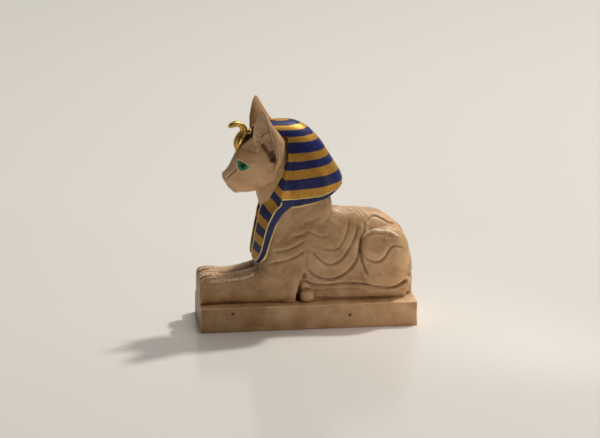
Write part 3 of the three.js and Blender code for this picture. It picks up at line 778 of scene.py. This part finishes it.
def lappetForm():
    low, high = lappetRows[0][0], lappetRows[-1][0]
    middle, half = -12.4, 7.4  # mm, where it hangs beside the middle plane, and half its width

    def place(angle, along):
        z = low + (high - low) * along ** 1.15
        innerFront, outerFront, back = throughRows(lappetRows, z).T
        tip = np.sqrt(np.clip((z - 54.6) / 6, 0.1, 1))  # rounded off at the lower end
        inner = middle + (half - smoothstep(z, 90, 125) * 5) * tip
        outer = middle - (half + smoothstep(z, 70, 110) * 1.6 - smoothstep(z, 116, 141) * 3) * tip
        corners = np.array([innerFront, inner, outerFront, outer, back, outer - 0.2, back, inner])
        corners = corners.reshape(4, 2, -1)  # x and y of each corner, at every height
        turn = angle / (2 * math.pi) * 4
        side = np.clip(np.floor(turn + 1e-9), 0, 3).astype(int)
        part = (turn - side)[:, None]
        count = np.arange(len(z))
        ring = corners[side, :, count] * (1 - part) + corners[(side + 1) % 4, :, count] * part
        return np.stack([ring[:, 0], ring[:, 1], z], 1)

    return rolled(64, 110, place)


def makeHeadcloth():
    piece = fused("headcloth", [capForm(), browForm(), *pair(lappetForm())], clothSet)
    points, normals = skinOf(piece)
    x, _, z = points.T
    # height along the stripes: they lie level at the top and rise a little towards the nape lower down
    stripe = z - (x + 18) * 0.1 * np.clip((156 - z) / 16, 0, 1) * (x > -18)
    stripe -= 3.6 * smoothstep(x, 6, 30) * np.clip((118.5 - stripe) / 6, 0, 1)
    giveValues(piece, "stripe", stripe)
    flat, outward = points * (1, 0, 1), np.tile((0, -1, 0), (len(points), 1))
    for name, places in clothSet["lines"].items():  # distances from each line, with a sign for its side
        distance, _, side = nearLine(flat, outward, smoothLine(places, 1.5))
        giveValues(piece, name, distance * side)
    giveValues(piece, "brow", (clothSet["browPlace"] - points) @ clothSet["browWay"])
    giveValues(piece, "sideways", np.abs(normals[:, 1]))
    return thinned(piece, clothSet["triangles"])


cobraSet = {"voxel": 0.3, "smoothing": 4}


def tubeAlong(path, size):  # size gives the half width and half thickness at each share of the way
    line = np.array(smoothLine(path, 0.5))

    def place(angle, along):
        centre, _ = onLine(line, along)
        nearest = np.clip(np.round(along * (len(line) - 1)).astype(int), 1, len(line) - 2)
        way = line[nearest + 1] - line[nearest - 1]
        way /= np.linalg.norm(way, axis=1)[:, None]
        wide, thick = throughRows(size, along).T
        across = np.array((0, 1, 0)) * (np.cos(angle) * wide)[:, None]
        return centre + across + np.cross(way, (0, 1, 0)) * (np.sin(angle) * thick)[:, None]

    return rolled(28, max(20, len(line)), place)


def makeCobra():
    neck = tubeAlong([(-56.7, 147.4), (-56.9, 150.4), (-56.3, 155), (-53.8, 159.6), (-51.6, 163.4),
                      (-52.4, 167.8), (-56.4, 170.7), (-60.4, 170.2), (-64.2, 168.2)],
                     [[0, 1.4, 1.2], [0.08, 4, 2.4], [0.2, 5.6, 3.7], [0.34, 5, 4.2], [0.46, 3.4, 3.8],
                      [0.56, 2.8, 3.1], [0.7, 2.5, 2.4], [0.84, 3, 2.4], [0.92, 2.9, 2.1], [0.975, 2, 1.5],
                      [1, 0.6, 0.6]])
    coil = tubeAlong([(-55, 158.6), (-52, 161.4), (-49.2, 163), (-46.6, 163.6), (-44, 163)],
                     [[0, 2.2, 2.6], [0.4, 2.4, 2.8], [0.7, 2.5, 2.6], [0.88, 2.9, 2.9], [0.97, 1.8, 1.8],
                      [1, 0.5, 0.5]])
    piece = fused("gildedCobra", [neck, coil], cobraSet)
    hood = cut([(-59.6, 3.2, 150), (-59.9, 3.4, 155), (-57.4, 3, 159.6)], 0.9, 0.35)
    mouth = cut([(-61.2, 2.4, 171.2), (-63.4, 1.6, 169.8)], 0.7, 0.3)
    residueAndShade, _ = carve(piece, [hood, mouth])
    # the hollows are painted darker: polish gathered there, and painted shade
    giveValues(piece, "residueAndShade", np.clip(np.maximum(residueAndShade, hollowness(piece, 6) * 4), 0, 1))
    return piece


def linear(shade):  # sRGB hex to linear light
    values = [int(shade[i:i + 2], 16) / 255 for i in (0, 2, 4)]
    return (*[c / 12.92 if c <= 0.04045 else ((c + 0.055) / 1.055) ** 2.4 for c in values], 1)


def fill(tree, node, inputs):  # an input takes another node's output, a hex colour or a plain value
    for name, value in inputs.items():
        if isinstance(value, bpy.types.NodeSocket):
            tree.links.new(value, node.inputs[name])
        else:
            node.inputs[name].default_value = linear(value) if isinstance(value, str) else value


def addNode(tree, kind, inputs=None, output=0, **settings):
    node = tree.nodes.new("ShaderNode" + kind)
    for name, value in settings.items():
        setattr(node, name, value)
    fill(tree, node, inputs or {})
    return node.outputs[output]


def calc(tree, operation, *inputs):
    return addNode(tree, "Math", dict(enumerate(inputs)), operation=operation)


def mix(tree, factor, a, b):
    return addNode(tree, "Mix", {"Factor": factor, "A": a, "B": b}, "Result", data_type="RGBA")


def span(tree, value, low, high, newLow=0, newHigh=1):  # values from low to high spread over the new range
    return addNode(tree, "MapRange", {"Value": value, "From Min": low, "From Max": high,
                                      "To Min": newLow, "To Max": newHigh})


def noise(tree, place, scale, detail, roughness=0.5, distortion=0):
    return addNode(tree, "TexNoise", {"Vector": place, "Scale": scale, "Detail": detail,
                                      "Roughness": roughness, "Distortion": distortion})


def bump(tree, height, strength, depth):  # depth in mm
    return addNode(tree, "Bump", {"Height": height, "Strength": strength, "Distance": depth * mm})


def stored(tree, name):  # a value given to the points of the piece
    return addNode(tree, "Attribute", output="Fac", attribute_name=name)


def ramp(tree, factor, stops, interpolation="LINEAR"):  # stops of a place and a hex colour or a grey
    colour = addNode(tree, "ValToRGB", {"Fac": factor})
    band = colour.node.color_ramp
    band.interpolation = interpolation
    band.elements.remove(band.elements[1])
    for i, (place, shade) in enumerate(stops):
        element = band.elements[0] if i == 0 else band.elements.new(place)
        element.position = place
        element.color = linear(shade) if isinstance(shade, str) else (shade, shade, shade, 1)
    return colour


def newMaterial(name):
    material = bpy.data.materials.new(name)
    material.use_nodes = True
    return material, material.node_tree


def fillShader(tree, inputs):
    fill(tree, tree.nodes["Principled BSDF"], inputs)


woodSet = {
    "light": "d2ae85", "middle": "c0976c", "dark": "a57c53", "residueAndShade": "4e321c", "worn": "f3dcba",
    "knot": "5a3420",
    "grain": 1.1, "streak": 26, "mottle": 16, "fine": 1.4,  # mm: a grain line's width and length, patches
}


# Limewood, carved with gouges, sanded and waxed: close grain that hardly shows, a soft sheen, darker wax and
# painted shade in the cuts and hollows, and pale bare wood and painted highlight where the edges stand out.
def carvedLimewood():
    size = woodSet
    material, tree = newMaterial("limewoodCarvedWaxed")
    place = addNode(tree, "TexCoord", output="Object")
    along, across = 1 / size["streak"] / mm, 1 / size["grain"] / mm
    stretched = addNode(tree, "Mapping", {"Vector": place, "Scale": (along, across, across)})
    grain = noise(tree, stretched, 1, 4, 0.6, 0.4)
    mottle = noise(tree, place, 1 / size["mottle"] / mm, 5, 0.55)
    fine = noise(tree, place, 1 / size["fine"] / mm, 3)
    tone = calc(tree, "MULTIPLY_ADD", mottle, 0.75, calc(tree, "MULTIPLY_ADD", grain, 0.16, 0.09))
    base = ramp(tree, tone, [(0.36, size["dark"]), (0.52, size["middle"]), (0.7, size["light"])])
    # wax in the cuts and painted shade in cuts and hollows darken the wood
    waxedAndShaded = mix(tree, calc(tree, "MULTIPLY", stored(tree, "residueAndShade"), 0.7), base, size["residueAndShade"])
    bareAndHighlit = calc(tree, "MULTIPLY", stored(tree, "worn"), span(tree, fine, 0.34, 0.56))  # ragged at its edges
    skin = mix(tree, bareAndHighlit, waxedAndShaded, size["worn"])
    for x, y, z, radius in plinthSet["knots"]:  # pin knots
        distance = addNode(tree, "VectorMath", {0: place, 1: (x * mm, y * mm, z * mm)}, "Value",
                           operation="DISTANCE")
        spot = span(tree, distance, radius * mm * 0.6, radius * mm * 1.5, 1, 0)
        skin = mix(tree, spot, skin, size["knot"])
    fillShader(tree, {"Base Color": skin, "Roughness": span(tree, fine, 0.3, 0.7, 0.42, 0.62), "IOR": 1.5,
                      "Coat Weight": 0.12, "Coat Roughness": 0.35,
                      "Normal": bump(tree, calc(tree, "MULTIPLY_ADD", grain, 0.6, fine), 0.35, 0.12)})
    return material


paintSet = {  # each paint as its colour, and the one that shows where the brush left it thin
    "blue": ("121c58", "39427e"), "black": ("14161c", "2a2a30"), "gold": ("c6943f", "9c6c34"),
    "pale": ("ecd67e", "b98f4c"), "goldInShade": ("6e4c20", "3c2814"),
    "line": 0.5,  # mm, half the width of a gold line
    "stripes": [111.1, 118.5, 127.2, 134.7, 141.9, 148.9, 157.8, 162.3, 166.9, 170.2, 173.2],
    "slanted": [57.5, 64.2, 70.9, 77.6, 84.3, 91, 97.7, 104.4],  # the stripes carried on down the lappets
    "far": 999,  # mm, past the end of everything
}


# Enamel and gold paint brushed over the carved cloth: the blue is glossy, the gold is bronze powder in
# varnish, a soft metal gleam with brush marks in it.
def paintedCloth():
    line, stripes, far = paintSet["line"], paintSet["stripes"], paintSet["far"]
    material, tree = newMaterial("clothPaintedBlueAndGold")
    place = addNode(tree, "TexCoord", output="Object")
    # the brush wanders by up to half a millimetre, and leaves more or less paint
    hand = calc(tree, "MULTIPLY_ADD", noise(tree, place, 1 / 7 / mm, 2), 0.9, -0.45)
    marks = noise(tree, place, 1 / 2.2 / mm, 4, 0.65)
    thin = span(tree, marks, 0.3, 0.7, -0.2, 0.25)

    def both(a, b):
        return calc(tree, "MULTIPLY", a, b)

    def either(a, b):
        return calc(tree, "MAXIMUM", a, b)

    def without(cover):
        return calc(tree, "SUBTRACT", 1, cover)

    def between(source, low, high):
        return both(calc(tree, "GREATER_THAN", source, low), calc(tree, "LESS_THAN", source, high))

    def striped(source, edges):  # gold from the first edge, blue from the second, and so on
        low, high = 40, 180
        stops = [((edge - low) / (high - low), float(i % 2 == 0)) for i, edge in enumerate(edges)]
        return ramp(tree, span(tree, source, low, high), [(0, 0.0), *stops], "CONSTANT")

    def brushed(paint, wear):
        return mix(tree, both(thin, wear), *paintSet[paint])

    stripe, corner, hem, cheek, brow = (calc(tree, "ADD", stored(tree, name), hand)
                                        for name in ("stripe", "corner", "hem", "cheek", "brow"))
    x, tall = (both(addNode(tree, "SeparateXYZ", {0: place}, axis), 1 / mm) for axis in "XZ")
    onCap = either(between(corner, 0, far), between(tall, 160, far))  # behind the ear and all round the top
    onFront = both(between(corner, -far, 0), between(tall, 0, 160))  # of the lappets, where the stripes slant
    slant = both(corner, span(tree, tall, 60, 110, 0.15, 0.75))
    slanted = striped(calc(tree, "ADD", stripe, slant), paintSet["slanted"] + stripes)
    gold = either(both(striped(stripe, stripes), onCap), both(slanted, onFront))
    gold = both(gold, between(hem, -far, 0))  # the back of the lappets and the underside are plain blue
    band = both(between(brow, -1, 4.6), both(between(tall, 146, far), between(x, -far, -43.5)))
    borderInShade = both(between(corner, -6, 1.1), between(tall, 143, 163))  # the gold border behind the ear, painted dark as the shade of the ear
    # gold lines along the hem, the cheek, the front corner and the border of the hem
    lines = both(between(hem, -line, 1.4), between(stored(tree, "sideways"), 0.3, 2))
    for edge, where in ((between(cheek, -1.6, line), between(tall, 0, 139)),
                        (between(corner, -line, line), between(tall, 0, 109)),
                        (between(stripe, stripes[0] - line, stripes[0] + line), between(corner, 0, far))):
        lines = either(lines, both(edge, where))
    skin = mix(tree, gold, brushed("blue", 1.6), brushed("gold", 2.2))
    for paint, wear, cover in (("black", 1, band), ("goldInShade", 1.4, borderInShade), ("pale", 1.2, lines)):
        skin = mix(tree, cover, skin, brushed(paint, wear))
    metal = both(both(gold, without(band)), both(without(lines), 0.6))
    fillShader(tree, {"Base Color": skin, "Metallic": metal, "Specular IOR Level": 0.3, "Coat Weight": 0.1,
                      "Coat Roughness": 0.4, "Roughness": calc(tree, "MULTIPLY_ADD", marks, 0.3, 0.32),
                      "Normal": bump(tree, calc(tree, "MULTIPLY_ADD", lines, 1.4, marks), 0.45, 0.16)})
    return material


# Cast brass, filed and polished, then gilded: it has worn dull gold, brown in the hollows where polish
# collects and painted shade falls, with a broken gleam.
def gildedBrass():
    material, tree = newMaterial("brassCastGilded")
    place = addNode(tree, "TexCoord", output="Object")
    cast = noise(tree, place, 1 / 1.1 / mm, 4, 0.6)  # the skin of the casting, about a millimetre across
    tone = ramp(tree, cast, [(0.35, "b58a3a"), (0.55, "d3ad5c"), (0.72, "e9d08c")])
    # polish and painted shade darken the hollows
    skin = mix(tree, stored(tree, "residueAndShade"), tone, "4a3414")
    sheen = span(tree, cast, 0.3, 0.7, 0.24, 0.46)
    fillShader(tree, {"Base Color": skin, "Metallic": 1, "Roughness": sheen,
                      "Normal": bump(tree, cast, 0.4, 0.1)})
    return material


# Pressed glass, fire polished, over a dark painted back: deep green with a lighter rim and a black pupil
# that shows through, and a wet gleam.
def pressedGlass():
    material, tree = newMaterial("greenGlassPressed")
    place = addNode(tree, "TexCoord", output="Object")
    swirl = noise(tree, place, 1 / 2.4 / mm, 3, distortion=1.2)
    reach = calc(tree, "MULTIPLY_ADD", swirl, 2.4, stored(tree, "pupil"))  # mm from the pupil, wavering
    glow = ramp(tree, span(tree, reach, 1.9, 6.4), [(0, "031a12"), (0.24, "084a31"), (0.5, "0e8058"),
                                                    (1, "2cb57e")])
    fillShader(tree, {"Base Color": glow, "Roughness": 0.18, "IOR": 1.5, "Specular IOR Level": 0.3})
    return material


cameraSet = {"azimuth": -7.313, "elevation": 17.984, "roll": 0.264, "distance": 2722.9, "lens": 198,
             "target": (-4.967, 0, 87.274)}


def makeCamera():
    spot = cameraSet
    camera = bpy.data.objects.new("camera", bpy.data.cameras.new("camera"))
    camera.data.lens, camera.data.sensor_width, camera.data.clip_end = spot["lens"], 36, 50
    around, over, roll = (Matrix.Rotation(math.radians(angle), 4, axis) for angle, axis in (
        (spot["azimuth"], "Z"), (90 - spot["elevation"], "X"), (spot["roll"], "Z")))
    aim, back = Matrix.Translation(Vector(spot["target"]) * mm), Vector((0, 0, spot["distance"] * mm))
    camera.matrix_world = aim @ around @ over @ roll @ Matrix.Translation(back)
    bpy.context.collection.objects.link(camera)
    bpy.context.scene.camera = camera


def makeFloor():
    bm = bmesh.new()
    bmesh.ops.create_grid(bm, x_segments=4, y_segments=4, size=12)
    floor = gathered("floor", [bm])
    material, tree = newMaterial("floorLacqueredBoard")
    fillShader(tree, {"Base Color": "dedbd6", "Roughness": 0.16, "Specular IOR Level": 0.42})
    floor.data.materials.append(material)


def makeWorld():  # the pale wall behind the table is all that the surroundings give
    world = bpy.data.worlds.new("studio")
    bpy.context.scene.world = world
    world.use_nodes = True
    tree = world.node_tree
    way = addNode(tree, "SeparateXYZ", {0: addNode(tree, "TexCoord", output="Generated")}, "Y")
    fill(tree, tree.nodes["Background"], {"Color": "f4efe6",
                                          "Strength": span(tree, way, 0.35, 0.95, 0.05, 0.66)})
    bpy.context.scene.view_settings.view_transform = "Standard"


def addLamp(name, place, aim, size, power, shade, spread=180):
    light = bpy.data.lights.new(name, "AREA")
    light.shape, light.spread = "DISK", math.radians(spread)
    light.size, light.energy, light.color = size, power, linear(shade)[:3]
    lamp = bpy.data.objects.new(name, light)
    lamp.location = place
    lamp.rotation_euler = (Vector(place) - Vector(aim)).to_track_quat("Z", "Y").to_euler()
    bpy.context.collection.objects.link(lamp)
    return lamp


makeCamera()
wood = carvedLimewood()
finished(makePlinth(), wood)
finished(makeBody(), wood)
finished(makeHead(), wood)
skull = skullForm()
bareSkull = BVHTree.FromBMesh(skull)
skull.free()
glass = pressedGlass()
for name, hand, node in (("leftEye", -1, "left_eye"), ("rightEye", 1, "right_eye")):
    finished(makeEye(name, hand, bareSkull), glass, node)
finished(makeHeadcloth(), paintedCloth())
finished(makeCobra(), gildedBrass(), "uraeus")

makeFloor()
makeWorld()
centre = (0, 0, 0.08)  # the lamps' places and sizes are in metres
addLamp("key", (1.6, 0.94, 2.82), centre, 0.26, 75, "fffcf7")
addLamp("top", (0.3, 0.1, 2.1), centre, 1.2, 16.8, "fffaf2")
addLamp("side", (0.36, -0.28, 0.13), (0.095, 0, 0.035), 0.1, 0.045, "fff0e0", 46)
addLamp("face", (0.15, -0.55, 0.04), (-0.07, 0, 0.117), 0.06, 0.005, "fff0e0", 11)
screen = addLamp("left", (-1.3, -0.5, 0.35), (-0.05, 0, 0.09), 0.9, 1.5, "fdf6ee")
screen.visible_diffuse = False  # a pale screen that only shows in what is glossy
print("stage done")
